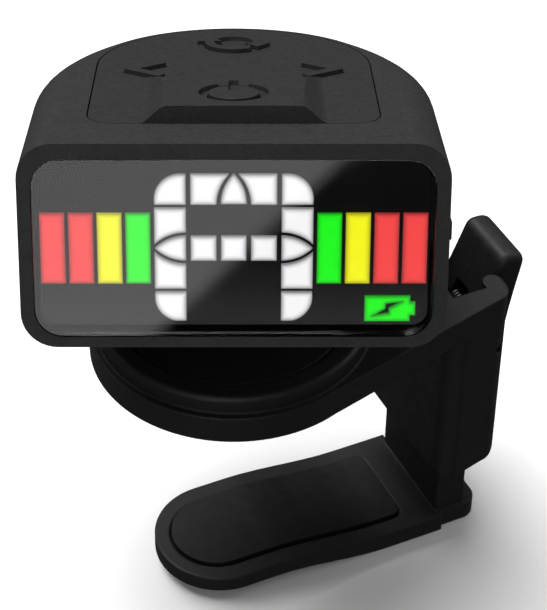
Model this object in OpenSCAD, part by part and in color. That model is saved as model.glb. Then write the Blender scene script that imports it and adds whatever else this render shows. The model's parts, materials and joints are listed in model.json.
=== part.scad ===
// Clip-on tuner: a small display head that leans and turns on a ratchet headstock clamp.
// Millimetres. Origin at the centre of the upper jaw pad's face, +X along the arm to the column, +Z up.

/* [Clamp] */
// Thickness of the arm and its disc
arm_t = 2.6; // [2:0.1:4]
// Radius of the round seat at the arm's end
disc_r = 12.5; // [10:0.5:15]
// Distance from the seat's centre to the arm's outer end
arm_reach = 23.7; // [20:0.1:28]
// Depth of the column below the arm
column_drop = 16.8; // [12:0.1:22]

/* [Head] */
// Width of the display face
head_w = 32.6; // [32:0.1:34]
// Depth of the head, front to back
head_d = 35; // [34:0.5:36]
// Height of the head
head_h = 16.4; // [16:0.1:17]
// How far the head leans back at rest, degrees
head_lean = 18.6; // [0:0.1:25]
// How far the head is turned on the clamp at rest, degrees
head_turn = 24.53; // [0:0.01:90]

/* [Jaw] */
// Clear gap between the jaws at rest
jaw_gap = 22.25; // [15:0.05:25]
// Half width of the paddle
paddle_hw = 6.1; // [4:0.1:8]

/* [Hidden] */
$fn = 64;

pad_proud = 0.5;
arm_z = pad_proud;
arm_top = arm_z + arm_t;
rim_r = 11.9;
rim_in = 9.9;
rim_top = arm_top + 1.7;
seat_z = arm_top - 0.8;
taper = 14;
corner_r = 1.8;
column_in = 17.1;
column_z = arm_z - column_drop;
chan_x0 = 18.6;
chan_x1 = 21.9;
chan_hw = 5.4;
slot_hw = 3.9;
slot_z = -10.5;
lever_hw = 3.4;
lever_x = 22.7;
lever_z = -3;
pin_r = 0.5;

screw_r = 1.25;
tilt_y = -0.861;
tilt_z = 6.491;
tilt_r = 0.9;
ear_x = 4.1;
ear_w = 2.2;
lug_r = 1.9;
table_z = seat_z + 0.25;
table_top = 4.4;

hw = head_w / 2;
front = -head_d / 2;
bend = -2;
flank_r = 23;
head_back = 18;
round_r = (pow(flank_r, 2) - pow(flank_r - hw, 2) - pow(head_back - bend, 2))
    / (2 * (flank_r - head_back + bend)) + 0.03;
join_y = head_back - round_r + round_r * (head_back - round_r - bend) / (flank_r - round_r);
edge_r = 2.8;
wall = 1.4;
head_z = 9.05;
face_c = head_h / 2;
lens_w = head_w - 2.2;
lens_h = head_h - 2.2;
lens_z = 8;
panel_t = 0.8;
panel_z = head_h - panel_t;
panel_front = front + 5;
panel_hw = hw - 4.9;
panel_bend = 3.9;
roof_z = head_h - 1.4;
lump_h = 1.4;
block_h = 1.15;
block_y = -4.4;
block_end = 1;
key_gap = 0.1;
ring_y = -8.3;
ring_r = 2.75;
board_z = 9.8;
port_y = -7.5;
port_z = 8.15;
board_t = 1;
seg_y = front + 1.3;
seg_t = 0.3;

stem_top = -3;
paddle_z = -jaw_gap - 1.4;
tip_z = -jaw_gap;
rise_x = 13.4;
rise_run = 11.6;

plastic = [0.13, 0.13, 0.135];
rubber = [0.08, 0.08, 0.085];
steel = [0.72, 0.73, 0.75];

// ---------- shared shapes ----------

function ease(t) = t < 0 ? 0 : t > 1 ? 1 : t * t * (3 - 2 * t);

module rrect(w, h, r) {
    square([w - 2 * r, h], center = true);
    square([w, h - 2 * r], center = true);
    for (x = [-1, 1], y = [-1, 1]) translate([x * (w / 2 - r), y * (h / 2 - r)]) circle(r);
}

module on_head() {
    rotate([0, 0, -head_turn]) translate([0, 0, head_z]) rotate([-head_lean, 0, 0]) children();
}

module on_table() { rotate([0, 0, -head_turn]) children(); }

// An upright slab facing the player: drawn in X and Z, from y0 back to y1
module facing(y0, y1) {
    translate([0, y1, 0]) rotate([90, 0, 0]) linear_extrude(y1 - y0) children();
}

// A bar along Y at x, z
module cross_pin(x, z, r, half) {
    translate([x, half, z]) rotate([90, 0, 0]) cylinder(r = r, h = 2 * half);
}

// The head's outline from above, inset by t, with its front edge at y0: straight sides, then three arcs
module head_plan(t, y0) {
    translate([-hw + t, y0]) square([2 * (hw - t), bend - y0]);
    intersection() {
        translate([hw - flank_r, bend]) circle(flank_r - t);
        translate([flank_r - hw, bend]) circle(flank_r - t);
        translate([-hw, bend - 0.01]) square([head_w, join_y - bend + 0.01]);
    }
    translate([0, head_back - round_r]) circle(round_r - t);
}

// The head's outer block: its outline from above, with the long side edges rounded
module head_solid() {
    intersection() {
        linear_extrude(head_h) head_plan(0, front);
        facing(front - 1, head_d) front_shape(0, edge_r);
    }
}

// The D-shaped outline of the key panel, shrunk by g
module panel_plan(g) {
    r = 2.3 - g;
    x = panel_hw - g;
    translate([-x, panel_front + 2.3]) square([2 * x, panel_bend - panel_front - 2.3]);
    translate([r - x, panel_front + g]) square([2 * (x - r), 4]);
    for (s = [-1, 1]) translate([s * (x - r), panel_front + 2.3]) circle(r);
    translate([0, panel_bend]) circle(panel_hw - g);
}

// ---------- clamp ----------

module arm_plan() {
    cx = arm_reach - corner_r;
    cy = (disc_r - corner_r - cx * sin(taper)) / cos(taper);
    n = [sin(taper), cos(taper)];
    circle(disc_r, $fn = 96);
    root = (disc_r - 0.04) * n;
    tip = [cx, cy] + (corner_r - 0.04) * n;
    polygon([root, tip, [arm_reach, cy], [arm_reach, -cy], [tip[0], -tip[1]], [root[0], -root[1]]]);
    for (s = [-1, 1]) translate([cx, s * cy]) circle(corner_r);
}

module column_plan() {
    intersection() {
        arm_plan();
        translate([column_in + 5, 0]) rrect(10, 16.5, 2);
    }
}

// The lever's slot through the column's outer wall, between two round-nosed lips
module slot_plan() {
    nose = (arm_reach - chan_x1) / 2;
    difference() {
        translate([chan_x1 - 0.1, -slot_hw - nose]) square([4, 2 * (slot_hw + nose)]);
        for (s = [-1, 1]) translate([chan_x1 + nose, s * (slot_hw + nose)]) circle(nose - 0.03);
    }
}

module clamp_frame() {
    color(plastic) difference() {
        union() {
            translate([0, 0, arm_z]) linear_extrude(arm_t) arm_plan();
            rotate_extrude() {
                translate([rim_in, seat_z]) square([rim_r - rim_in, rim_top - seat_z - 0.5]);
                translate([rim_in + 0.5, seat_z]) square([rim_r - rim_in - 1, rim_top - seat_z]);
                for (x = [rim_in + 0.5, rim_r - 0.5]) translate([x, rim_top - 0.5]) circle(0.5);
            }
            intersection() {
                translate([0, 0, column_z]) linear_extrude(column_drop + 0.1) column_plan();
                facing(-12, 12) translate([arm_reach - 15, column_z + 15]) rrect(30, 30, 1.8);
            }
        }
        translate([0, 0, seat_z]) cylinder(r = rim_in, h = 8);
        cylinder(r = screw_r + 0.02, h = 8);
        translate([0, 0, -0.1]) cylinder(r = 10.6, h = pad_proud + 0.5);
        translate([chan_x0, -chan_hw, column_z - 1]) cube([chan_x1 - chan_x0, 2 * chan_hw, 30]);
        translate([0, 0, slot_z]) linear_extrude(20) slot_plan();
        cross_pin(lever_x, lever_z, pin_r, 12);
    }
}

module upper_jaw_pad() {
    color(rubber) difference() {
        cylinder(r = 10.5, h = pad_proud + 0.4);
        for (x = [-6:3:6]) translate([x - 0.3, -12, -0.1]) cube([0.6, 24, 0.3]);
    }
}

module swivel_screw() {
    color(steel) difference() {
        union() {
            translate([0, 0, 1]) cylinder(r = screw_r, h = 2.6);
            translate([0, 0, 3.5]) cylinder(r = 2.4, h = 0.8);
        }
        for (a = [0, 90]) rotate([0, 0, a]) translate([-1.3, -0.25, 3.9]) cube([2.6, 0.5, 1]);
    }
}

module swivel_washer() {
    color(steel) translate([0, 0, seat_z]) difference() {
        cylinder(r = 4.2, h = 0.2);
        translate([0, 0, -1]) cylinder(r = screw_r + 0.1, h = 3);
    }
}

module lever_pin() { color(steel) cross_pin(lever_x, lever_z, pin_r, 6.4); }

module lever_spring() {
    wire = 0.18;
    color(steel) translate([lever_x, 0, lever_z]) rotate([90, 0, 0]) {
        for (i = [-2:2]) translate([0, 0, i * 0.34]) rotate_extrude($fn = 32)
            translate([pin_r + 0.24, 0]) circle(wire, $fn = 16);
        translate([0.72, 0, 0.68]) rotate([-90, 0, 0]) cylinder(r = wire, h = 1.6, $fn = 16);
        translate([0.72, 0, -0.68]) rotate([90, 0, 0]) cylinder(r = wire, h = 1.6, $fn = 16);
    }
}

module lever_side() {
    polygon([[24.7, 3.4], [25.1, 3.9], [27, 3.9], [27.4, 3.4], [26.8, 0.5], [26, -2], [25.6, -5],
        [24.7, -7.4], [23.3, -8.6], [22, -8.9], [21.75, -8.5], [22.6, -7.4], [22.6, -5.2], [22, -3.7],
        [22, -2.4], [22.6, -1.6], [23.2, -0.7]]);
}

module release_lever() {
    color(plastic) difference() {
        facing(-lever_hw, lever_hw) lever_side();
        cross_pin(lever_x, lever_z, pin_r + 0.04, 5);
        translate([21, -1.1, lever_z - 2]) cube([3.1, 2.2, 4]);
        for (z = [0.6:0.9:3.3]) cross_pin(27.45 - (3.4 - z) * 0.21, z, 0.2, 2.4);
    }
}

// ---------- lower jaw ----------

// The paddle's height at x: it rises smoothly from lo at the column to hi at the tip
function jaw_line(x, lo, hi) = lo + (hi - lo) * ease((rise_x - x) / rise_run);

module jaw_side(top_lo, top_hi, low_lo, low_hi) {
    xs = concat([24], [for (t = [0:0.125:1]) rise_x - rise_run * t], [-9]);
    n = len(xs) - 1;
    polygon(concat([for (x = xs) [x, jaw_line(x, top_lo, top_hi)]],
        [for (i = [0:n]) [xs[n - i], jaw_line(xs[n - i], low_lo, low_hi)]]));
}

module paddle_plan() {
    translate([-1.4, 0]) circle(paddle_hw);
    translate([-1.4, -paddle_hw]) square([20.4, 2 * paddle_hw]);
    translate([18.5, 0]) rrect(9.4, 11.2, 1.6);
}

module pad_plan(g) {
    r = 4.4 - g;
    translate([-1.7, 0]) circle(r);
    translate([-1.7, -r]) square([16.4, 2 * r]);
    translate([12, 0]) rrect(7.4 - 2 * g, 2 * r, 1);
}

module lower_jaw() {
    color(plastic) {
        difference() {
            intersection() {
                facing(-8, 8) jaw_side(paddle_z, tip_z - 0.35, paddle_z - 1.9, tip_z - 1.95);
                translate([0, 0, -30]) linear_extrude(20) paddle_plan();
            }
            intersection() {
                facing(-8, 8) jaw_side(paddle_z + 1, tip_z + 1, paddle_z - 0.4, tip_z - 0.75);
                translate([0, 0, -30]) linear_extrude(20) pad_plan(0);
            }
        }
        difference() {
            translate([chan_x0 + 0.1, -chan_hw + 0.15, paddle_z - 0.1])
                cube([2.9, 2 * chan_hw - 0.3, stem_top - paddle_z + 0.1]);
            for (i = [0:12]) facing(-3.6, 3.6)
                translate([21.6, stem_top - 1.6 - i * 0.85])
                    polygon([[0.1, 0.05], [-0.6, -0.6], [0.1, -0.6]]);
        }
    }
}

module lower_jaw_pad() {
    color(rubber) intersection() {
        facing(-8, 8) jaw_side(paddle_z + 0.35, tip_z, paddle_z - 0.4, tip_z - 0.75);
        translate([0, 0, -30]) linear_extrude(20) pad_plan(0.15);
    }
}

// ---------- turntable ----------

module turntable() {
    color(plastic) on_table() difference() {
        union() {
            translate([0, 0, table_z]) cylinder(r = rim_in - 0.15, h = table_top - table_z);
            for (s = [-1, 1]) translate([s * (ear_x + ear_w / 2), 0, 0]) {
                translate([-ear_w / 2, tilt_y, tilt_z]) rotate([0, 90, 0]) cylinder(r = 2, h = ear_w);
                translate([-ear_w / 2, tilt_y - 2, table_z + 0.5]) cube([ear_w, 4, tilt_z - table_z - 0.5]);
            }
        }
        translate([0, 0, -1]) cylinder(r = screw_r + 0.05, h = 10);
        translate([0, 0, 3.45]) cylinder(r = 2.5, h = 4);
        translate([-8, tilt_y, tilt_z]) rotate([0, 90, 0]) cylinder(r = tilt_r, h = 16);
    }
}

module tilt_pin() {
    color(steel) on_table() translate([-ear_x - ear_w + 0.1, tilt_y, tilt_z]) rotate([0, 90, 0])
        cylinder(r = tilt_r, h = 2 * (ear_x + ear_w) - 0.2);
}

// ---------- head shell ----------

module front_shape(inset, r) { translate([0, face_c]) rrect(head_w - 2 * inset, head_h - 2 * inset, r); }

cover_hw = 12.6;
cover_spots = [[-10.7, -10.5], [10.7, -10.5], [-8.3, 8.3], [8.3, 8.3]];
board_spots = [[-11.2, 6.5], [11.2, 6.5]];

module cover_plan(g) {
    translate([g - cover_hw, -15 + g]) square([2 * (cover_hw - g), 16.4 - g]);
    translate([0, 1.4]) circle(cover_hw - g);
}

module screw_posts() {
    for (p = cover_spots) translate([p[0], p[1], 1.4]) {
        cylinder(r = 1.5, h = 4.9);
        translate([p[0] > 0 ? 0 : -4.6, -0.6, 0]) cube([4.6, 1.2, 4.9]);
    }
    for (p = board_spots) translate([p[0], p[1], board_z + board_t])
        cylinder(r = 1.4, h = roof_z - board_z - board_t + 0.2);
}

module head_housing() {
    color(plastic) on_head() difference() {
        union() {
            difference() {
                head_solid();
                intersection() {
                    translate([0, 0, 1.4]) linear_extrude(roof_z - 1.4) head_plan(wall, front + 2.1);
                    facing(front, head_d) front_shape(1.4, 1.6);
                }
            }
            screw_posts();
        }
        translate([0, 0, -1]) linear_extrude(2.4) cover_plan(0);
        facing(front - 1, front + 1.3) translate([0, lens_z]) rrect(lens_w + 0.1, lens_h + 0.1, 2.2);
        facing(front, front + 3) translate([0, lens_z]) rrect(29.7, 12.8, 1.2);
        for (p = cover_spots) translate([p[0], p[1], 1]) cylinder(r = 0.55, h = 4.6);
        for (p = board_spots) translate([p[0], p[1], board_z]) cylinder(r = 0.5, h = 4.2);
        translate([0, 0, panel_z]) linear_extrude(4) panel_plan(0);
        key_holes(roof_z - 1, 6);
        translate([hw - 3, port_y - 4.7, port_z - 1.85]) cube([6, 9.4, 3.7]);
        translate([hw - 0.6, -14.9, port_z - 2.85]) cube([3, 12.6, 5.7]);
    }
}

module base_cover() {
    color(plastic) on_head() difference() {
        union() {
            linear_extrude(1.4) cover_plan(0.08);
            translate([-ear_x + 0.1, -lug_r, -2.7]) cube([2 * ear_x - 0.2, 2 * lug_r, 2.8]);
            translate([-ear_x + 0.1, 0, -2.7]) rotate([0, 90, 0]) cylinder(r = lug_r, h = 2 * ear_x - 0.2);
        }
        translate([-6, 0, -2.7]) rotate([0, 90, 0]) cylinder(r = tilt_r + 0.04, h = 12);
        for (p = cover_spots) translate([p[0], p[1], -1]) {
            cylinder(r = 0.65, h = 4);
            cylinder(r = 1.2, h = 1.7);
        }
    }
}

module cover_screws() {
    color(steel) on_head() for (p = cover_spots) translate([p[0], p[1], 0]) difference() {
        union() {
            translate([0, 0, 0.1]) cylinder(r = 1.1, h = 0.6);
            translate([0, 0, 0.6]) cylinder(r = 0.53, h = 4.6);
        }
        for (a = [0, 90]) rotate([0, 0, a]) translate([-0.7, -0.15, -0.1]) cube([1.4, 0.3, 0.5]);
    }
}

// ---------- display ----------

module display_lens() {
    color([0.03, 0.03, 0.035, 0.55]) on_head() facing(front + 0.05, front + 1.1) translate([0, lens_z])
        rrect(lens_w, lens_h, 2.15);
}

module lens_gasket() {
    color(rubber) on_head() facing(front + 1.1, front + 1.3) translate([0, lens_z]) difference() {
        rrect(lens_w - 0.2, lens_h - 0.2, 2.05);
        rrect(29.7, 12.8, 1.2);
    }
}

module light_guide() {
    color([0.05, 0.05, 0.055]) on_head() facing(seg_y + seg_t, front + 4.1) translate([0, lens_z])
        rrect(29.5, 12.6, 1.1);
}

module on_display() { on_head() facing(seg_y, seg_y + seg_t) translate([0, -0.27]) children(); }

module bars(list) {
    for (i = list) translate([sign(i) * (abs(i) * 2.17 + 5.1), 8]) square([1.87, 5.65], center = true);
}

// A leaf-shaped point inside a unit of the note figure, base at the origin, pointing up
module leaf(w, h) {
    r = (w * w / 4 + h * h) / w;
    intersection() {
        translate([-w / 2 + r, 0]) circle(r);
        translate([w / 2 - r, 0]) circle(r);
        translate([-w, 0]) square([2 * w, h + 1]);
    }
}

module note_segments() {
    color([0.95, 0.95, 0.95]) on_display() {
        for (s = [-1, 1]) scale([s, 1]) {
            for (z = [[11.55, 2.4, 1], [2.1, 2.35, -1]]) intersection() {
                translate([3.63, z[0]]) square([2.4, z[1]]);
                translate([4.03, z[2] > 0 ? z[0] + 0.4 : z[0] + z[1] - 0.4]) circle(2);
            }
            difference() {
                translate([3.63, 4.75]) square([2.4, 6.5]);
                translate([3.6, 8.02]) rotate([0, 0, -90]) leaf(2.62, 2.75);
            }
            translate([3.63, 8.02]) rotate([0, 0, -90]) leaf(1.95, 2.35);
            difference() {
                translate([0.4, 11.55]) square([2.87, 2.4]);
                translate([0, 11.5]) leaf(2.62, 2.8);
            }
            translate([1.32, 7.04]) square([1.95, 1.95]);
        }
        translate([0, 11.6]) leaf(1.95, 2.35);
        translate([0, 8.02]) square([1.92, 1.95], center = true);
    }
}

module red_segments() { color([0.95, 0.25, 0.2]) on_display() bars([-4, -3, 3, 4]); }

module yellow_segments() { color([0.98, 0.85, 0.05]) on_display() bars([-2, 2]); }

module green_segments() {
    color([0.05, 0.75, 0.1]) on_display() {
        bars([-1, 1]);
        difference() {
            union() {
                translate([10.05, 2.05]) square([3.5, 2.05]);
                translate([13.5, 2.55]) square([0.45, 1.05]);
            }
            translate([11.8, 3.07]) polygon([[-1.18, -0.6], [-0.15, 0.02], [-0.12, 0.44], [1.16, 0.61],
                [0.13, 0], [0.13, -0.4]]);
        }
    }
}

module display_board() {
    color([0.05, 0.2, 0.12]) on_head() facing(front + 4.1, front + 5.1) translate([0, lens_z])
        rrect(28.6, 11.8, 0.6);
}

// ---------- electronics ----------

module main_board() {
    color([0.05, 0.25, 0.15]) on_head() difference() {
        translate([0, 0, board_z]) linear_extrude(board_t) head_plan(wall + 0.5, front + 5.3);
        for (p = board_spots) translate([p[0], p[1], board_z - 1]) cylinder(r = 0.55, h = 4);
    }
}

module board_screws() {
    color(steel) on_head() for (p = board_spots) translate([p[0], p[1], 0]) {
        translate([0, 0, board_z - 0.6]) cylinder(r = 1, h = 0.6);
        translate([0, 0, board_z - 0.1]) cylinder(r = 0.48, h = 3.6);
    }
}

switch_spots = [[-7, 1.65], [7, 1.65], [0, 9.9], [0, ring_y]];

module tact_switches() {
    color(steel) on_head() for (p = switch_spots) translate([p[0], p[1], board_z + board_t]) {
        translate([-1.6, -1.6, 0]) cube([3.2, 3.2, 1.5]);
        cylinder(r = 0.8, h = 2.2);
    }
}

module battery_cell() {
    color([0.55, 0.57, 0.6]) on_head() translate([0, -1, 2.3]) linear_extrude(3.8) rrect(15.6, 15, 1.2);
}

module usb_socket() {
    color(steel) on_head() difference() {
        translate([8.6, port_y, port_z]) rotate([90, 0, 90]) linear_extrude(7) rrect(8.94, 3.26, 1.2);
        difference() {
            translate([9.6, port_y, port_z]) rotate([90, 0, 90]) linear_extrude(7) rrect(8.34, 2.6, 0.95);
            translate([9, port_y - 3.35, port_z - 0.35]) cube([6, 6.7, 0.7]);
        }
    }
}

module piezo_disc() {
    color([0.85, 0.7, 0.3]) on_head() {
        translate([0, 0, 1.4]) cylinder(r = 6.5, h = 0.2);
        translate([0, 0, 1.5]) cylinder(r = 4.8, h = 0.35);
    }
}

// ---------- keys ----------

module chevron(g) {
    for (s = [-1, 1]) translate([-1.45, 0]) rotate([0, 0, s * 37]) translate([-0.35 - g, -0.42 - g])
        square([3.6 + 2 * g, 0.84 + 2 * g]);
}

// Two arrows chasing each other round a ring
module flip_glyph(g) {
    for (a = [0, 180]) rotate([0, 0, a]) {
        intersection() {
            difference() { circle(2.45 + g); circle(1.65 - g); }
            polygon([[0, -0.45 - g], [4, -0.45 - g], [4, 4], [-1.4 - g, 4], [-1.4 - g, 1]]);
        }
        translate([2.05, -0.2]) polygon([[-1.05 - g, -0.1 + g], [1.05 + g, -0.1 + g], [0, -1.35 - g]]);
    }
}

module key_shape(i, g) {
    if (i == 0) translate([-7, 1.65]) chevron(g);
    if (i == 1) translate([7, 1.65]) rotate([0, 0, 180]) chevron(g);
    if (i == 2) translate([0, 9.9]) flip_glyph(g);
    if (i == 3) translate([0, ring_y]) circle(2 + g);
}

module key_holes(z, h) { translate([0, 0, z]) linear_extrude(h) for (i = [0:3]) key_shape(i, key_gap); }

// The raised block under the power key: S-shaped flanks, a nearly level top, fading out at block_end
module panel_body() {
    steps = [0:0.125:1];
    translate([0, 0, panel_z]) linear_extrude(panel_t) panel_plan(0.12);
    base = head_h - 0.01;
    run = block_end - block_y;
    intersection() {
        facing(panel_front + 0.12, block_end) polygon(concat([[-7.3, panel_z]],
            [for (t = steps) [-7.3 + 2.2 * t, base + (lump_h + 0.01) * ease(t)]],
            [for (t = steps) [5.1 + 2.2 * t, base + (lump_h + 0.01) * ease(1 - t)]],
            [[7.3, panel_z]]));
        translate([-10, 0, 0]) rotate([90, 0, 90]) linear_extrude(20)
            polygon(concat([[panel_front, panel_z], [panel_front, head_h + lump_h]],
                [for (t = steps) [block_y + run * t, base + (block_h + 0.01) * ease(1 - t)]],
                [[block_end, panel_z]]));
    }
}

// Cuts drawn flat on the block's slope, round the power key's centre
module block_cut() {
    slope = (lump_h - block_h) / (block_y - panel_front);
    translate([0, ring_y, head_h + lump_h - slope * (ring_y - panel_front) - 0.4])
        rotate([-atan(slope), 0, 0]) linear_extrude(2) children();
}

module key_panel() {
    color(rubber) on_head() difference() {
        panel_body();
        key_holes(panel_z - 1, 5);
        block_cut() {
            difference() {
                circle(ring_r);
                translate([-1.2, 0]) square([2.4, 4]);
            }
            translate([-0.4, 0.6]) square([0.8, 3]);
        }
    }
}

module glyph_key(i) {
    p = switch_spots[i];
    color(rubber) on_head() {
        translate([0, 0, roof_z - 0.7]) linear_extrude(1.4 + 0.35 + 0.7) key_shape(i, 0);
        translate([p[0], p[1], roof_z - 0.8]) linear_extrude(0.6) rrect(4.4, 5, 0.8);
    }
}

module key_left() { glyph_key(0); }

module key_right() { glyph_key(1); }

module key_flip() {
    color(rubber) on_head() {
        translate([0, 0, roof_z - 0.7]) linear_extrude(1.4 + 0.35 + 0.7) key_shape(2, 0);
        translate([0, 9.9, roof_z - 0.8]) cylinder(r = 3, h = 0.6);
    }
}

module key_power() {
    color(rubber) on_head() difference() {
        union() {
            intersection() {
                translate([0, 0, roof_z - 0.7]) linear_extrude(6) key_shape(3, 0);
                union() { panel_body(); translate([-9, -15, roof_z - 0.8]) cube([18, 12, 2]); }
            }
            translate([0, ring_y, roof_z - 0.8]) cylinder(r = 3, h = 0.6);
        }
        block_cut() translate([-0.4, 0.6]) square([0.8, 3]);
    }
}

// A rubber flap let into the side wall, with a finger lip at its free end
module port_cover() {
    color(rubber) on_head() {
        translate([hw - 0.6, -14.8, port_z - 2.75]) cube([0.6, 12.4, 5.5]);
        translate([hw - 0.1, -14.6, port_z - 0.45]) cube([0.55, 1, 1.5]);
        translate([hw - 1.2, port_y, port_z]) rotate([90, 0, 90]) linear_extrude(0.7) rrect(7.6, 2.1, 0.8);
    }
}

clamp_frame();
upper_jaw_pad();
swivel_screw();
swivel_washer();
lever_pin();
lever_spring();
release_lever();
lower_jaw();
lower_jaw_pad();
turntable();
tilt_pin();
head_housing();
base_cover();
cover_screws();
display_lens();
lens_gasket();
light_guide();
note_segments();
red_segments();
yellow_segments();
green_segments();
display_board();
main_board();
board_screws();
tact_switches();
battery_cell();
usb_socket();
piezo_disc();
key_panel();
key_left();
key_right();
key_flip();
key_power();
port_cover();
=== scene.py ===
"""Looks for the clip-on tuner: a display head that turns and leans on a headstock clamp, in a pale studio."""

import json
import math

import bmesh
import bpy
from mathutils import Matrix, Vector

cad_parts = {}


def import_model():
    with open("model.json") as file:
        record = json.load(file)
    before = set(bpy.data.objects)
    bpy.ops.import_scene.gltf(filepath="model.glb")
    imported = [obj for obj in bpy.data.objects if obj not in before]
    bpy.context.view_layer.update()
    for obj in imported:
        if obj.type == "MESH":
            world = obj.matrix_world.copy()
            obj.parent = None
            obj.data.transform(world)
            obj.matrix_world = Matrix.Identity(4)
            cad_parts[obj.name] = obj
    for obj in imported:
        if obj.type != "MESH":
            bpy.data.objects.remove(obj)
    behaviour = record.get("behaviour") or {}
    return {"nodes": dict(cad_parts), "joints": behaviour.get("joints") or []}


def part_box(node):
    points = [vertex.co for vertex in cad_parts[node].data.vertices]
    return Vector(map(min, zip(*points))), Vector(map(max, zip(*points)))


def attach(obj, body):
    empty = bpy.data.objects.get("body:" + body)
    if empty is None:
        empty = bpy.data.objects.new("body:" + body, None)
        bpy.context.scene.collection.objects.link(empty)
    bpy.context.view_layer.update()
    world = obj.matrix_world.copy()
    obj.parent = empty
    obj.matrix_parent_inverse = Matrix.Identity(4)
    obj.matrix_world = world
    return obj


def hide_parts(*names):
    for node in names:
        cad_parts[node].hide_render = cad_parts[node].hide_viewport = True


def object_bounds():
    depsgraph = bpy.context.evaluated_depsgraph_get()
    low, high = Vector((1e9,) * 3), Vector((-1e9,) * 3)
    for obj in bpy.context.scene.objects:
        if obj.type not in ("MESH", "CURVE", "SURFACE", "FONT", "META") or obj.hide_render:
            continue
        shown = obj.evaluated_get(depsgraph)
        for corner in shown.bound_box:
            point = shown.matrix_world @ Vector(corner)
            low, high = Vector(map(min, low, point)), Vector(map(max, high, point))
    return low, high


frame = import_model()
cad_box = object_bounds()
MM = 0.001
nodes = frame["nodes"]
joints = {j["name"]: j for j in frame["joints"]}

# ---------------------------------------------------------------- the head's own frame

EX = Vector(joints["head_tilt"]["axis"]).normalized()
EZ = -Vector(joints["press_power"]["axis"]).normalized()
EY = EZ.cross(EX)
PIVOT_DROP = 2.7 * MM  # the tilt pin's centre is this far under the housing's bottom
ORIGIN = Vector(joints["head_tilt"]["pos_m"]) + EZ * PIVOT_DROP
HEAD = Matrix.Translation(ORIGIN) @ Matrix((EX, EY, EZ)).transposed().to_4x4()
TO_HEAD = HEAD.inverted()


def local_box(node):
    """Lowest and highest corner of a CAD node in the head's own frame, in metres."""
    points = [TO_HEAD @ v.co for v in nodes[node].data.vertices]
    low = Vector(min(p[i] for p in points) for i in range(3))
    high = Vector(max(p[i] for p in points) for i in range(3))
    return low, high


shell_low, shell_high = local_box("head_housing")
HALF_W = (shell_high.x - shell_low.x) / 2
FRONT = shell_low.y
BACK = shell_high.y
HEIGHT = shell_high.z
lens_low, lens_high = local_box("display_lens")
panel_low, panel_high = local_box("key_panel")
cover_low, cover_high = local_box("base_cover")
port_low, port_high = local_box("port_cover")

EDGE_R = 2.8 * MM
BEND = -2 * MM  # where the straight sides end
FLANK_R = 23 * MM
BACK_R = (FLANK_R**2 - (FLANK_R - HALF_W) ** 2 - (BACK - BEND) ** 2) / (2 * (FLANK_R - BACK + BEND))
WALL = 1.4 * MM
PORT_DEPTH = 0.6 * MM  # how far the port's recess goes into the side


# ---------------------------------------------------------------- mesh helpers


def mesh_object(name, bm):
    """A bmesh as a new object in the scene."""
    bmesh.ops.recalc_face_normals(bm, faces=bm.faces)
    mesh = bpy.data.meshes.new(name)
    bm.to_mesh(mesh)
    bm.free()
    made = bpy.data.objects.new(name, mesh)
    bpy.context.scene.collection.objects.link(made)
    return made


def loft(name, rings, place=HEAD):
    """A closed solid through rings of the same number of points, with flat ends."""
    bm = bmesh.new()
    loops = [[bm.verts.new(place @ Vector(p)) for p in ring] for ring in rings]
    count = len(rings[0])
    for a, b in zip(loops, loops[1:]):
        for i in range(count):
            bm.faces.new((a[i], a[(i + 1) % count], b[(i + 1) % count], b[i]))
    bm.faces.new(loops[0])
    bm.faces.new(loops[-1])
    return mesh_object(name, bm)


def arc(centre, radius, start, end, steps):
    """Points of an arc in a plane, angles in degrees, both ends included."""
    angles = [math.radians(start + (end - start) * i / steps) for i in range(steps + 1)]
    return [(centre[0] + radius * math.cos(a), centre[1] + radius * math.sin(a)) for a in angles]


def rounded_box(half_w, half_h, radius, steps=8):
    """A rounded rectangle round the origin, in a plane."""
    points = []
    for k, (sx, sy) in enumerate(((1, 1), (-1, 1), (-1, -1), (1, -1))):
        centre = (sx * (half_w - radius), sy * (half_h - radius))
        points += arc(centre, radius, 90 * k, 90 * k + 90, steps)
    return points


def carve(piece, cutters):
    """Takes the cutters out of the piece and removes them."""
    for cutter in cutters:
        cut = piece.modifiers.new("cut", "BOOLEAN")
        cut.operation = "DIFFERENCE"
        cut.solver = "EXACT"
        cut.object = cutter
    bpy.context.view_layer.update()
    evaluated = piece.evaluated_get(bpy.context.evaluated_depsgraph_get())
    mesh = bpy.data.meshes.new_from_object(evaluated)
    piece.modifiers.clear()
    piece.data = mesh
    for cutter in cutters:
        bpy.data.objects.remove(cutter)
    return piece


def soften(piece, width, segments=3, angle=32):
    """Rounds a piece's sharp edges as a mould does, and shades it smoothly."""
    weld = piece.modifiers.new("weld", "WELD")
    weld.merge_threshold = 0.0005 * MM
    flat = piece.modifiers.new("flat", "DECIMATE")
    flat.decimate_type = "DISSOLVE"
    flat.angle_limit = math.radians(0.6)
    bevel = piece.modifiers.new("bevel", "BEVEL")
    bevel.width = width
    bevel.segments = segments
    bevel.limit_method = "ANGLE"
    bevel.angle_limit = math.radians(angle)
    bevel.use_clamp_overlap = True
    normal = piece.modifiers.new("normal", "WEIGHTED_NORMAL")
    normal.weight = 60
    return piece


def rolled(tree, radius):
    """The normal of a surface whose edges are rolled over by a small radius."""
    edge = tree.nodes.new("ShaderNodeBevel")
    edge.samples = 6
    edge.inputs["Radius"].default_value = radius
    return edge.outputs["Normal"]


# ---------------------------------------------------------------- materials


def new_material(name):
    """A node material, with its node tree and its principled shader."""
    material = bpy.data.materials.new(name)
    material.use_nodes = True
    tree = material.node_tree
    shader = tree.nodes["Principled BSDF"]
    return material, tree, shader


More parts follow.
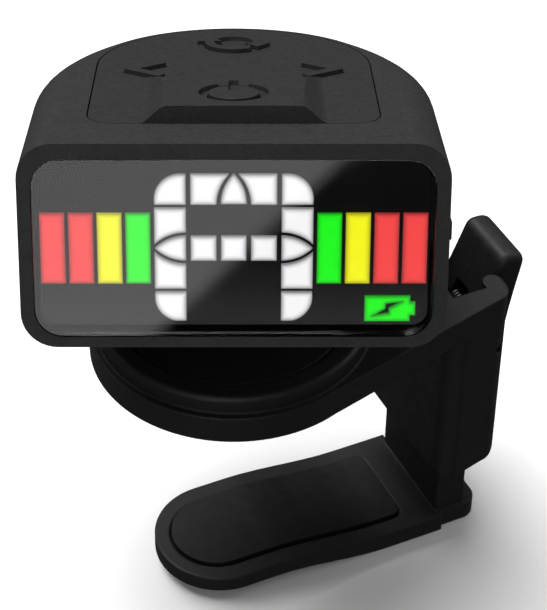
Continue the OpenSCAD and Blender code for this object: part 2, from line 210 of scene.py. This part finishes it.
def noise(tree, scale, detail=3.0, rough=0.5):
    """A noise texture in the piece's own metres."""
    place = tree.nodes.new("ShaderNodeTexCoord")
    texture = tree.nodes.new("ShaderNodeTexNoise")
    texture.inputs["Scale"].default_value = scale
    texture.inputs["Detail"].default_value = detail
    texture.inputs["Roughness"].default_value = rough
    tree.links.new(place.outputs["Object"], texture.inputs["Vector"])
    return texture


def spread(tree, source, low, high):
    """Maps a 0.3..0.7 texture value onto low..high."""
    span = tree.nodes.new("ShaderNodeMapRange")
    span.inputs["From Min"].default_value = 0.3
    span.inputs["From Max"].default_value = 0.7
    span.inputs["To Min"].default_value = low
    span.inputs["To Max"].default_value = high
    tree.links.new(source, span.inputs["Value"])
    return span.outputs["Result"]


def grain(tree, shader, scale, height, strength, roll):
    """Fine moulded grain as bump, with two sizes of bumps, over softly rolled edges."""
    fine = noise(tree, scale, 2.0)
    wide = noise(tree, scale * 0.12, 2.0)
    both = tree.nodes.new("ShaderNodeMath")
    both.operation = "MULTIPLY_ADD"
    both.inputs[1].default_value = 0.6
    tree.links.new(wide.outputs["Fac"], both.inputs[0])
    tree.links.new(fine.outputs["Fac"], both.inputs[2])
    bump = tree.nodes.new("ShaderNodeBump")
    bump.inputs["Strength"].default_value = strength
    bump.inputs["Distance"].default_value = height
    tree.links.new(both.outputs["Value"], bump.inputs["Height"])
    if roll:
        tree.links.new(rolled(tree, roll), bump.inputs["Normal"])
    tree.links.new(bump.outputs["Normal"], shader.inputs["Normal"])


def moulded(name, dark, light, rough, scale=7000, height=0.012 * MM, strength=0.5, specular=0.3, roll=0.0):
    """Black moulded plastic or rubber: fine grain, a mottled tone and a roughness that drifts."""
    material, tree, shader = new_material(name)
    mottle = noise(tree, scale * 0.5, 3.0, 0.7)
    tone = tree.nodes.new("ShaderNodeMix")
    tone.data_type = "RGBA"
    tone.inputs["A"].default_value = (*dark, 1)
    tone.inputs["B"].default_value = (*light, 1)
    tree.links.new(spread(tree, mottle.outputs["Fac"], 0, 1), tone.inputs["Factor"])
    tree.links.new(tone.outputs["Result"], shader.inputs["Base Color"])
    patches = noise(tree, 900, 3.0)
    drift = spread(tree, patches.outputs["Fac"], rough - 0.06, rough + 0.06)
    tree.links.new(drift, shader.inputs["Roughness"])
    shader.inputs["Specular IOR Level"].default_value = specular
    grain(tree, shader, scale, height, strength, roll)
    return material


def metal(name, colour, rough, stretch=(1, 1, 18)):
    """Machined metal with fine lines along one way."""
    material, tree, shader = new_material(name)
    place = tree.nodes.new("ShaderNodeTexCoord")
    pull = tree.nodes.new("ShaderNodeMapping")
    pull.inputs["Scale"].default_value = stretch
    lines = tree.nodes.new("ShaderNodeTexNoise")
    lines.inputs["Scale"].default_value = 900
    lines.inputs["Detail"].default_value = 3
    tree.links.new(place.outputs["Object"], pull.inputs["Vector"])
    tree.links.new(pull.outputs["Vector"], lines.inputs["Vector"])
    tree.links.new(spread(tree, lines.outputs["Fac"], rough - 0.08, rough + 0.1), shader.inputs["Roughness"])
    tone = tree.nodes.new("ShaderNodeMix")
    tone.data_type = "RGBA"
    tone.inputs["A"].default_value = (*[0.8 * c for c in colour], 1)
    tone.inputs["B"].default_value = (*colour, 1)
    tree.links.new(lines.outputs["Fac"], tone.inputs["Factor"])
    tree.links.new(tone.outputs["Result"], shader.inputs["Base Color"])
    shader.inputs["Metallic"].default_value = 1
    bump = tree.nodes.new("ShaderNodeBump")
    bump.inputs["Strength"].default_value = 0.15
    bump.inputs["Distance"].default_value = 0.01 * MM
    tree.links.new(lines.outputs["Fac"], bump.inputs["Height"])
    tree.links.new(bump.outputs["Normal"], shader.inputs["Normal"])
    return material


def lit(name, colour, edge):
    """A glowing segment: full colour in its middle, dimmer towards its edge."""
    material, tree, shader = new_material(name)
    reach = tree.nodes.new("ShaderNodeAttribute")
    reach.attribute_name = "glow"
    cells = noise(tree, 2500, 2.0)
    glow = tree.nodes.new("ShaderNodeMix")
    glow.data_type = "RGBA"
    glow.inputs["A"].default_value = (*edge, 1)
    glow.inputs["B"].default_value = (*colour, 1)
    tree.links.new(reach.outputs["Fac"], glow.inputs["Factor"])
    tree.links.new(glow.outputs["Result"], shader.inputs["Emission Color"])
    shader.inputs["Emission Strength"].default_value = 1
    shader.inputs["Base Color"].default_value = (*[0.05 * c for c in colour], 1)
    tree.links.new(spread(tree, cells.outputs["Fac"], 0.5, 0.6), shader.inputs["Roughness"])
    return material


def acrylic():
    """The clear tinted cover over the display."""
    material, tree, shader = new_material("lens_acrylic")
    haze = noise(tree, 400, 3.0)
    tree.links.new(spread(tree, haze.outputs["Fac"], 0.015, 0.04), shader.inputs["Roughness"])
    shader.inputs["Base Color"].default_value = (0.96, 0.96, 0.97, 1)
    shader.inputs["Transmission Weight"].default_value = 1
    shader.inputs["IOR"].default_value = 1.49
    return material


def board():
    """Green circuit board with faint tracks."""
    material, tree, shader = new_material("board_green")
    weave = noise(tree, 1500, 4.0)
    tone = tree.nodes.new("ShaderNodeMix")
    tone.data_type = "RGBA"
    tone.inputs["A"].default_value = (0.004, 0.05, 0.02, 1)
    tone.inputs["B"].default_value = (0.012, 0.11, 0.05, 1)
    tree.links.new(weave.outputs["Fac"], tone.inputs["Factor"])
    tree.links.new(tone.outputs["Result"], shader.inputs["Base Color"])
    tree.links.new(spread(tree, weave.outputs["Fac"], 0.3, 0.45), shader.inputs["Roughness"])
    return material


SHELL = moulded("shell_plastic", (0.012, 0.012, 0.0125), (0.024, 0.024, 0.025), 0.6)
# The clamp's black plastic is its own tone plus painted shade: it is set darker than the shell's plastic to
# stand in for the shade on the clamp's unlit sides.
SHADED_JAW = moulded("jaw_plastic", (0.0085, 0.0085, 0.009), (0.017, 0.017, 0.0175), 0.52, roll=0.35 * MM)
KEYS = moulded("key_rubber", (0.011, 0.011, 0.0115), (0.021, 0.021, 0.022), 0.64, specular=0.25)
PAD = moulded("pad_rubber", (0.005, 0.005, 0.0052), (0.009, 0.009, 0.0094), 0.4, 6000, 0.006 * MM, 0.2)
MASK = moulded("mask_black", (0.0008, 0.0008, 0.0008), (0.0012, 0.0012, 0.0012), 0.7, specular=0.05)
STEEL = metal("pin_steel", (0.62, 0.63, 0.65), 0.3)
SPRING = metal("spring_black", (0.05, 0.05, 0.055), 0.35)
SOCKET = metal("socket_steel", (0.55, 0.56, 0.58), 0.25)
FOIL = metal("cell_foil", (0.5, 0.51, 0.53), 0.38, (1, 1, 1))
BRASS = metal("piezo_brass", (0.75, 0.55, 0.22), 0.32)
BOARD = board()
LENS = acrylic()
WHITE = lit("segment_white", (1, 1, 1), (0.22, 0.22, 0.23))
RED = lit("segment_red", (1, 0.06, 0.06), (0.35, 0.02, 0.02))
YELLOW = lit("segment_yellow", (1, 1, 0), (0.4, 0.38, 0))
GREEN = lit("segment_green", (0, 1, 0), (0, 0.32, 0))


def dress(name, material, width=0.0, segments=3):
    """Gives a CAD node its material and its softened edges."""
    piece = nodes[name]
    piece.data.materials.clear()
    piece.data.materials.append(material)
    if width:
        soften(piece, width, segments)
    return piece


# ---------------------------------------------------------------- the head's shell


def outline(inset, front):
    """The housing from above: straight sides, a flank arc on each side, and the back arc."""
    join = math.degrees(math.atan2(BACK - BACK_R - BEND, FLANK_R - HALF_W))
    right = arc((HALF_W - FLANK_R, BEND), FLANK_R - inset, 0, join, 16)
    round_back = arc((0, BACK - BACK_R), BACK_R - inset, join, 180 - join, 40)[1:-1]
    left = [(-x, y) for x, y in reversed(right)]
    side = HALF_W - inset
    return [(side, front)] + right + round_back + left + [(-side, front)]


def rounded_block(name, inset, front, low, high, radius, steps=10):
    """The housing's form between two heights, with its long edges rounded."""
    rings = []
    turns = [math.radians(90 * i / steps) for i in range(steps + 1)]
    for a in turns:
        rings.append((radius * (1 - math.sin(a)), low + radius * (1 - math.cos(a))))
    for a in reversed(turns):
        rings.append((radius * (1 - math.sin(a)), high - radius * (1 - math.cos(a))))
    return loft(name, [[(x, y, z) for x, y in outline(inset + r, front)] for r, z in rings])


def facing_prism(name, points, y0, y1, z):
    """A prism through the front face, its section drawn in X and Z round height z."""
    return loft(name, [[(px, y, z + pz) for px, pz in points] for y in (y0, y1)])


def upright(name, points, low, high):
    """A prism along the head's own Z, its section drawn in X and Y."""
    return loft(name, [[(x, y, z) for x, y in points] for z in (low, high)])


def sideways(name, points, y, z, low, high):
    """A prism into the head's right side, its section drawn in Y and Z round a point."""
    return loft(name, [[(x, y + py, z + pz) for py, pz in points] for x in (low, high)])


def blacken(shell, half, lens_z):
    """Gives the walls of the lens's pocket the mask's black."""
    margin = 0.1 * MM
    for face in shell.data.polygons:
        place = TO_HEAD @ face.center
        deep = FRONT + 0.05 * MM < place.y < FRONT + 3.2 * MM
        wide = abs(place.x) < half[0] + margin and abs(place.z - lens_z) < half[1] + margin
        face.material_index = int(deep and wide)


def head_shell():
    """The housing with its rim rounded right round the back, its pockets and its cavity."""
    shell = rounded_block("head_shell", 0, FRONT, 0, HEIGHT, EDGE_R)
    lens_z = (lens_low.z + lens_high.z) / 2
    half = (lens_high.x + 0.05 * MM, (lens_high.z - lens_low.z) / 2 + 0.05 * MM)
    pocket = facing_prism("pocket", rounded_box(*half, 2.2 * MM), FRONT - MM, FRONT + 1.3 * MM, lens_z)
    window = facing_prism(
        "window", rounded_box(14.85 * MM, 6.4 * MM, 1.2 * MM), FRONT + MM, FRONT + 3 * MM, lens_z
    )
    cavity = rounded_block("cavity", WALL, FRONT + 2.1 * MM, WALL, HEIGHT - WALL, 1.6 * MM, 5)
    panel = upright("panel", panel_outline(0.12 * MM), panel_low.z, HEIGHT + MM)
    switch_room = upright("room", panel_outline(-1.6 * MM), HEIGHT - 2 * MM, panel_low.z + 0.1 * MM)
    cover = upright("cover", cover_outline(0.08 * MM), -MM, WALL + 0.1 * MM)
    port_z = (port_low.z + port_high.z) / 2
    port_y = (port_low.y + port_high.y) / 2
    side = HALF_W - PORT_DEPTH
    flap_room = rounded_box(6.3 * MM, 2.85 * MM, 0.3 * MM, 4)
    plug_room = rounded_box(4.7 * MM, 1.85 * MM, 1.2 * MM, 6)
    recess = sideways("recess", flap_room, port_y, port_z, side, HALF_W + MM)
    mouth = sideways("mouth", plug_room, port_y + MM, port_z, side - 2 * MM, HALF_W)
    carve(shell, [cavity, pocket, window, panel, switch_room, cover, recess, mouth])
    soften(shell, 0.14 * MM, 3, 38)
    shell.data.materials.append(SHELL)
    shell.data.materials.append(MASK)
    blacken(shell, half, lens_z)
    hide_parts("head_housing")
    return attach(shell, "head")


def panel_outline(grow):
    """The D of the key panel, grown outwards."""
    half = panel_high.x + grow
    front = panel_low.y - grow
    corner = 2.3 * MM
    centre = panel_high.y - panel_high.x
    return (
        arc((half - corner, front + corner), corner, -90, 0, 8)
        + arc((0, centre), half, 0, 180, 48)
        + arc((corner - half, front + corner), corner, 180, 270, 8)
    )


def cover_outline(grow):
    """The bottom cover's plan: square in front, round behind."""
    half = cover_high.x + grow
    return [(half, cover_low.y - grow)] + arc((0, cover_high.y - cover_high.x), half, 0, 180, 40) + [
        (-half, cover_low.y - grow)
    ]


head_shell()

# ---------------------------------------------------------------- the lit segments


def distance_to_edges(point, edges):
    """How far a point is from the nearest of some straight edges."""
    nearest = 1.0
    for start, along, squared in edges:
        t = min(1, max(0, (point - start).dot(along) / squared))
        nearest = min(nearest, (point - start - along * t).length)
    return nearest


def faces_front(face):
    """Whether a mesh face looks out of the display."""
    return face.normal.dot(-EY) > 0.9


def glowing(node, material, soft=0.5 * MM, cell=0.28 * MM):
    """A CAD node's segments as a finer mesh that carries how deep inside its outline each point lies."""
    bm = bmesh.new()
    bm.from_mesh(nodes[node].data)
    bmesh.ops.remove_doubles(bm, verts=bm.verts, dist=0.0005 * MM)
    bmesh.ops.dissolve_limit(bm, angle_limit=0.01, verts=bm.verts, edges=bm.edges)
    face = [f for f in bm.faces if faces_front(f)]
    edges = []
    for e in {e for f in face for e in f.edges if any(g not in face for g in e.link_faces)}:
        along = e.verts[1].co - e.verts[0].co
        edges.append((e.verts[0].co.copy(), along, along.length_squared))
    bmesh.ops.triangulate(bm, faces=bm.faces)
    for _ in range(5):
        shown = (e for e in bm.edges if any(faces_front(f) for f in e.link_faces))
        long = [e for e in shown if e.calc_length() > cell]
        if not long:
            break
        bmesh.ops.subdivide_edges(bm, edges=long, cuts=1)
        bmesh.ops.triangulate(bm, faces=bm.faces)
    front = min(v.co.dot(EY) for v in bm.verts)
    depths = []
    for v in bm.verts:
        inside = 0.0
        if v.co.dot(EY) < front + 0.01 * MM:
            inside = min(1, distance_to_edges(v.co, edges) / soft)
        depths.append(inside * (2 - inside))
    piece = mesh_object(node + "_glow", bm)
    glow = piece.data.attributes.new("glow", "FLOAT", "POINT")
    glow.data.foreach_set("value", depths)
    piece.data.materials.append(material)
    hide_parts(node)
    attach(piece, "head")


glowing("note_segments", WHITE)
glowing("red_segments", RED)
glowing("yellow_segments", YELLOW)
glowing("green_segments", GREEN, 0.4 * MM)

# ---------------------------------------------------------------- the release lever


def filleted(corners, steps=5):
    """A closed outline from corners (x, z, radius), each rounded with its own radius."""
    points = []
    for i, (x, z, radius) in enumerate(corners):
        here = Vector((x, z))
        before = (Vector(corners[i - 1][:2]) - here).normalized()
        after = (Vector(corners[(i + 1) % len(corners)][:2]) - here).normalized()
        half = before.angle(after) / 2
        reach = radius / math.tan(half)
        centre = here + (before + after).normalized() * (radius / math.sin(half))
        start = here + before * reach - centre
        turn = start.angle_signed(here + after * reach - centre)
        for k in range(steps + 1):
            a = -turn * k / steps
            points.append(centre + Matrix.Rotation(a, 2) @ start)
    return points


def shrunk(points, inset, neck_z):
    """The outline moved inwards along its normals, by less below the neck; it runs clockwise."""
    made = []
    for i, p in enumerate(points):
        along = (points[(i + 1) % len(points)] - points[i - 1]).normalized()
        share = min(1, max(0.4, (p.y - neck_z) / (2 * MM)))
        made.append(p + Vector((along.y, -along.x)) * inset * share)
    return made


def across_lever(name, points, low, high):
    """A prism along the row's Y, its section drawn in X and Z."""
    return loft(name, [[(x, y, z) for x, z in points] for y in (low, high)], Matrix())


def release_lever():
    """The squeeze lever: a thumb pad at the top, a neck at its pin, and a toe that bears on the stem."""
    low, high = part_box("release_lever")
    pin = Vector(joints["lever_pivot"]["pos_m"])
    top, right, left = high.z, high.x, low.x
    corners = [
        (pin.x + 1.9 * MM, top, 1.0 * MM),
        (right - 0.05 * MM, top, 1.2 * MM),
        (pin.x + 3.3 * MM, pin.z + 1 * MM, 3 * MM),
        (pin.x + 2.8 * MM, pin.z - 2.5 * MM, 3 * MM),
        (pin.x + 1.2 * MM, low.z + 0.9 * MM, 1.0 * MM),
        (left + 0.2 * MM, low.z + 0.05 * MM, 0.45 * MM),
        (pin.x - 0.1 * MM, pin.z - 4.4 * MM, 0.5 * MM),
        (pin.x - 0.1 * MM, pin.z - 2.2 * MM, 0.6 * MM),
        (pin.x - 0.7 * MM, pin.z - 0.6 * MM, 0.5 * MM),
        (pin.x - 0.1 * MM, pin.z + 1.4 * MM, 0.6 * MM),
    ]
    side = filleted(corners)
    round_r = 0.75 * MM
    turns = [math.radians(15 * i) for i in range(7)]
    rings = [(low.y + round_r * (1 - math.cos(a)), round_r * (1 - math.sin(a))) for a in turns]
    rings += [(low.y + high.y - y, inset) for y, inset in reversed(rings)]
    sections = [(y, shrunk(side, inset, pin.z + MM)) for y, inset in rings]
    lever = loft("lever_body", [[(p.x, y, p.y) for p in section] for y, section in sections], Matrix())
    circle = arc((0, 0), 0.54 * MM, 0, 345, 23)
    bore = across_lever("bore", [(pin.x + x, pin.z + z) for x, z in circle], low.y - MM, high.y + MM)
    box = rounded_box(1.9 * MM, 2 * MM, 0.3 * MM, 3)
    room_at = [(pin.x - 0.6 * MM + x, pin.z + z) for x, z in box]
    room = across_lever("spring_room", room_at, -1.1 * MM, 1.1 * MM)
    grooves = []
    for i in range(4):
        at = (right + 0.02 * MM - (3 - i) * 0.17 * MM, pin.z + (3.6 + 0.9 * i) * MM)
        ring = [(at[0] + x, at[1] + z) for x, z in arc((0, 0), 0.22 * MM, 0, 330, 11)]
        grooves.append(across_lever("groove%d" % i, ring, -2.4 * MM, 2.4 * MM))
    carve(lever, [bore, room] + grooves)
    soften(lever, 0.06 * MM, 2, 40)
    lever.data.materials.append(SHADED_JAW)
    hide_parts("release_lever")
    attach(lever, "release_lever")


release_lever()

# ---------------------------------------------------------------- the CAD nodes' finish

dress("clamp_frame", SHADED_JAW, 0.3 * MM)
dress("lower_jaw", SHADED_JAW, 0.2 * MM)
dress("turntable", SHADED_JAW, 0.15 * MM)
dress("base_cover", SHELL, 0.12 * MM)
dress("key_panel", KEYS, 0.1 * MM)
for name in ("key_left", "key_right", "key_flip", "key_power"):
    dress(name, KEYS, 0.1 * MM)
dress("port_cover", KEYS, 0.12 * MM)
dress("upper_jaw_pad", PAD, 0.12 * MM)
dress("lower_jaw_pad", PAD, 0.14 * MM)
for name in ("swivel_screw", "swivel_washer", "lever_pin", "tilt_pin", "cover_screws", "board_screws"):
    dress(name, STEEL, 0.05 * MM, 2)
dress("lever_spring", SPRING)
dress("display_lens", LENS, 0.04 * MM, 2)
dress("lens_gasket", MASK)
dress("light_guide", MASK, 0.05 * MM, 2)
dress("display_board", BOARD, 0.05 * MM, 2)
dress("main_board", BOARD, 0.05 * MM, 2)
dress("tact_switches", SOCKET, 0.08 * MM, 2)
dress("battery_cell", FOIL, 0.3 * MM)
dress("usb_socket", SOCKET, 0.06 * MM, 2)
dress("piezo_disc", BRASS, 0.03 * MM, 2)

# ---------------------------------------------------------------- studio

FLOOR_Z = cad_box[0].z - 0.02 * MM


def floor():
    """A broad pale sheet that the tuner stands on."""
    bm = bmesh.new()
    bmesh.ops.create_grid(bm, x_segments=8, y_segments=8, size=3)
    sheet = mesh_object("floor", bm)
    sheet.location.z = FLOOR_Z
    material, _, shader = new_material("floor_pale")
    shader.inputs["Base Color"].default_value = (0.93, 0.93, 0.93, 1)
    shader.inputs["Roughness"].default_value = 0.9
    shader.inputs["Specular IOR Level"].default_value = 0.1
    sheet.data.materials.append(material)
    sheet.visible_diffuse = False
    sheet.visible_glossy = False


def light(name, place, target, size, power):
    """A soft square light."""
    data = bpy.data.lights.new(name, "AREA")
    data.size = size
    data.energy = power
    made = bpy.data.objects.new(name, data)
    bpy.context.scene.collection.objects.link(made)
    made.location = place
    made.rotation_euler = (Vector(target) - Vector(place)).to_track_quat("-Z", "Y").to_euler()
    return made


def mirrored(point, eye):
    """The direction in which the lens mirrors the eye's view at a point on it."""
    ray = (point - eye).normalized()
    normal = -EY
    return ray - 2 * ray.dot(normal) * normal


def lens_card(eye):
    """A card that only reflections see: bright on one side of a soft slanting edge, black beyond."""
    far = 0.4
    middle = HEAD @ Vector((0, FRONT, (lens_low.z + lens_high.z) / 2))
    ahead = mirrored(middle, eye)
    centre = middle + ahead * far
    across = EX
    upward = ahead.cross(across).normalized()
    if upward.z < 0:
        upward = -upward

    def hit(x, z):
        point = HEAD @ Vector((x, FRONT, z))
        way = mirrored(point, eye)
        length = (centre - point).dot(ahead) / way.dot(ahead)
        offset = point + way * length - centre
        return Vector((offset.dot(across), offset.dot(upward)))

    top = hit(0.52 * HALF_W, lens_high.z)
    low = hit(-0.36 * HALF_W, lens_low.z)
    bm = bmesh.new()
    size = 0.2
    corners = ((-1, -1), (1, -1), (1, 1), (-1, 1))
    bm.faces.new([bm.verts.new(centre + across * x * size + upward * y * size) for x, y in corners])
    card = mesh_object("lens_card", bm)
    card.visible_camera = False
    card.visible_diffuse = False
    card.visible_shadow = False
    card.visible_transmission = False
    material, tree, shader = new_material("card_glow")
    edge = (top - low).normalized()
    side = Vector((-edge.y, edge.x))
    if side.x > 0:
        side = -side
    place = tree.nodes.new("ShaderNodeTexCoord")
    along = tree.nodes.new("ShaderNodeVectorMath")
    along.operation = "DOT_PRODUCT"
    along.inputs[1].default_value = across * side.x + upward * side.y
    tree.links.new(place.outputs["Object"], along.inputs[0])
    start = centre.dot(across * side.x + upward * side.y) + ((top + low) / 2).dot(side)
    ramp = tree.nodes.new("ShaderNodeMapRange")
    ramp.interpolation_type = "SMOOTHSTEP"
    ramp.inputs["From Min"].default_value = start - 0.002
    ramp.inputs["From Max"].default_value = start + 0.004
    ramp.inputs["To Max"].default_value = 2.1
    tree.links.new(along.outputs["Value"], ramp.inputs["Value"])
    shader.inputs["Base Color"].default_value = (0, 0, 0, 1)
    shader.inputs["Specular IOR Level"].default_value = 0
    shader.inputs["Emission Color"].default_value = (1, 1, 1, 1)
    tree.links.new(ramp.outputs["Result"], shader.inputs["Emission Strength"])
    card.data.materials.append(material)


def world():
    """A white backdrop for the eye, and a softer grey one for the light that it sheds."""
    made = bpy.data.worlds.new("studio")
    bpy.context.scene.world = made
    made.use_nodes = True
    tree = made.node_tree
    seen = tree.nodes["Background"]
    seen.inputs["Color"].default_value = (1, 1, 1, 1)
    seen.inputs["Strength"].default_value = 1.05
    shed = tree.nodes.new("ShaderNodeBackground")
    shed.inputs["Color"].default_value = (1, 1, 1, 1)
    shed.inputs["Strength"].default_value = 0.09
    path = tree.nodes.new("ShaderNodeLightPath")
    pick = tree.nodes.new("ShaderNodeMixShader")
    tree.links.new(path.outputs["Is Camera Ray"], pick.inputs["Fac"])
    tree.links.new(shed.outputs["Background"], pick.inputs[1])
    tree.links.new(seen.outputs["Background"], pick.inputs[2])
    tree.links.new(pick.outputs["Shader"], tree.nodes["World Output"].inputs["Surface"])


def camera():
    """The photographer's eye: above and in front, looking square at the display."""
    heading = math.atan2(-EX.y, EX.x)
    pitch = math.radians(40.84)
    data = bpy.data.cameras.new("camera")
    data.sensor_width = 36
    data.lens = 129.8
    data.shift_x = 0.0667
    data.shift_y = 0.0126
    data.clip_start = 0.01
    data.clip_end = 10
    made = bpy.data.objects.new("camera", data)
    bpy.context.scene.collection.objects.link(made)
    made.location = Vector((-59.38, -129.95, 127.31)) * MM
    look = Vector(
        (math.sin(heading) * math.cos(pitch), math.cos(heading) * math.cos(pitch), -math.sin(pitch))
    )
    made.rotation_euler = look.to_track_quat("-Z", "Y").to_euler()
    bpy.context.scene.camera = made
    return made


floor()
world()
eye = camera()
lens_card(eye.location)
middle = (cad_box[0] + cad_box[1]) / 2
light("top_light", middle + Vector((-0.12, 0.2, 0.65)), middle, 0.6, 8.5)
light("front_light", middle + Vector((-0.4, -0.5, 0.5)), middle, 0.4, 0.9)
light("side_light", middle + Vector((0.6, -0.05, 0.3)), middle, 0.35, 0.8)
bpy.context.scene.view_settings.view_transform = "Standard"
